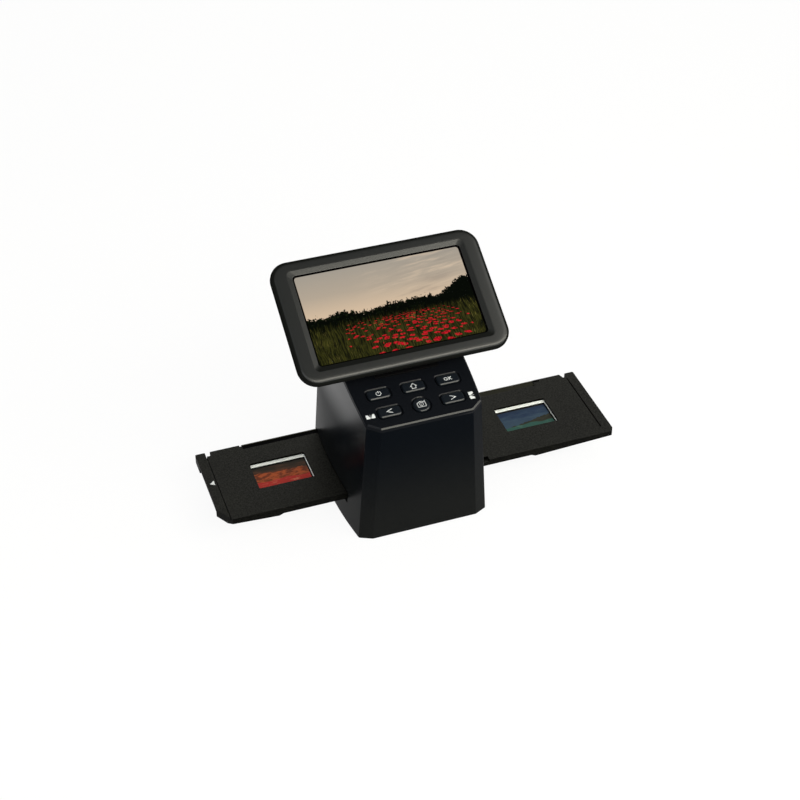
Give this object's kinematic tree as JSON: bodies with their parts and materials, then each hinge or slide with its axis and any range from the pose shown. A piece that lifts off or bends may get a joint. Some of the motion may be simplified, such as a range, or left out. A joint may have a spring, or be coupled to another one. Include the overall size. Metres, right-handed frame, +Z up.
{
  "type": "film negative scanner",
  "caption": "Tabletop film and slide scanner: tapered body with a sliding film holder through it, a sloping key panel and a wide tilting display.",
  "frame": {"origin": "on the surface that the feet stand on, under the middle of the body's footprint", "axes": "+X to the right along the film holder's travel, +Y to the back, +Z up; the keys face -Y and up"},
  "size_m": [0.2752, 0.1092, 0.1537],
  "materials": {
    "black_shell": "satin moulded plastic",
    "panel_black": "satin moulded plastic",
    "dark_plastic": "fine matt texture",
    "bezel_grey": "matt warm dark grey",
    "holder_olive": "fine grain, olive black",
    "key_black": "satin with bright edge",
    "rubber_black": "matt",
    "steel": "brushed",
    "bright_metal": "plain",
    "board_green": "solder mask",
    "board_white": "white solder mask",
    "led_yellow": "phosphor",
    "white_plastic": "matt white",
    "opal_plastic": "opal",
    "chip_black": "epoxy",
    "lens_glass": "clear",
    "sensor_blue": "coated",
    "cover_glass": "clear",
    "lcd_picture": "lit picture",
    "mount_white": "white slide frame",
    "film_colour": "slide film"
  },
  "bodies": {
    "scanner_body": {"housing": "black_shell", "control_panel": "panel_black", "rear_cover": "black_shell", "base_plate": "dark_plastic", "rubber_feet": "rubber_black", "base_screws": "steel", "rear_cover_screws": "steel", "film_guide": "dark_plastic", "gate_plate": "bright_metal", "detent_spring": "steel", "guide_screws": "steel", "backlight_board": "board_white", "backlight_leds": "led_yellow", "light_box": "white_plastic", "diffuser": "opal_plastic", "light_shaft": "dark_plastic", "lens_barrel": "dark_plastic", "front_lens": "lens_glass", "rear_lens": "lens_glass", "sensor_board": "board_green", "image_sensor": "sensor_blue", "sensor_screws": "steel", "main_board": "board_green", "processor": "chip_black", "main_board_screws": "steel", "card_socket": "bright_metal", "usb_socket": "bright_metal", "video_socket": "bright_metal", "key_board": "board_green", "tact_switches": "chip_black", "key_board_screws": "steel", "hinge_bracket": "dark_plastic", "bracket_screws": "steel", "hinge_pin": "steel", "rest_pads": "rubber_black"},
    "display": {"display_bezel": "bezel_grey", "display_window": "cover_glass", "lcd_panel": "lcd_picture", "display_board": "board_green", "display_back_cover": "dark_plastic", "display_screws": "steel"},
    "film_holder": {"holder_base": "holder_olive", "holder_lid": "holder_olive", "holder_hinge_pins": "steel", "slide_mounts": "mount_white", "slide_films": "film_colour"},
    "power_key": {"power_key": "key_black"},
    "home_key": {"home_key": "key_black"},
    "ok_key": {"ok_key": "key_black"},
    "left_key": {"left_key": "key_black"},
    "capture_key": {"capture_key": "key_black"},
    "right_key": {"right_key": "key_black"}
  },
  "joints": [
    {"name": "display_tilt", "type": "hinge", "parent": "scanner_body", "child": "display", "pos_m": [0, -0.00759, 0.10666], "axis": [1, 0, 0], "range_deg": [-24, 25]},
    {"name": "holder_slide", "type": "slide", "parent": "scanner_body", "child": "film_holder", "axis": [1, 0, 0], "range_m": [-0.0954, 0.0788]},
    {"name": "power_key_press", "type": "slide", "parent": "scanner_body", "child": "power_key", "axis": [0, -0.2079, 0.9781], "range_m": [-0.0005, 0], "stiffness_N_per_m": 500, "springref_m": 0.0004},
    {"name": "home_key_press", "type": "slide", "parent": "scanner_body", "child": "home_key", "axis": [0, -0.2079, 0.9781], "range_m": [-0.0005, 0], "stiffness_N_per_m": 500, "springref_m": 0.0004},
    {"name": "ok_key_press", "type": "slide", "parent": "scanner_body", "child": "ok_key", "axis": [0, -0.2079, 0.9781], "range_m": [-0.0005, 0], "stiffness_N_per_m": 500, "springref_m": 0.0004},
    {"name": "left_key_press", "type": "slide", "parent": "scanner_body", "child": "left_key", "axis": [0, -0.2079, 0.9781], "range_m": [-0.0005, 0], "stiffness_N_per_m": 500, "springref_m": 0.0004},
    {"name": "capture_key_press", "type": "slide", "parent": "scanner_body", "child": "capture_key", "axis": [0, -0.2079, 0.9781], "range_m": [-0.0005, 0], "stiffness_N_per_m": 500, "springref_m": 0.0004},
    {"name": "right_key_press", "type": "slide", "parent": "scanner_body", "child": "right_key", "axis": [0, -0.2079, 0.9781], "range_m": [-0.0005, 0], "stiffness_N_per_m": 500, "springref_m": 0.0004}
  ]
}
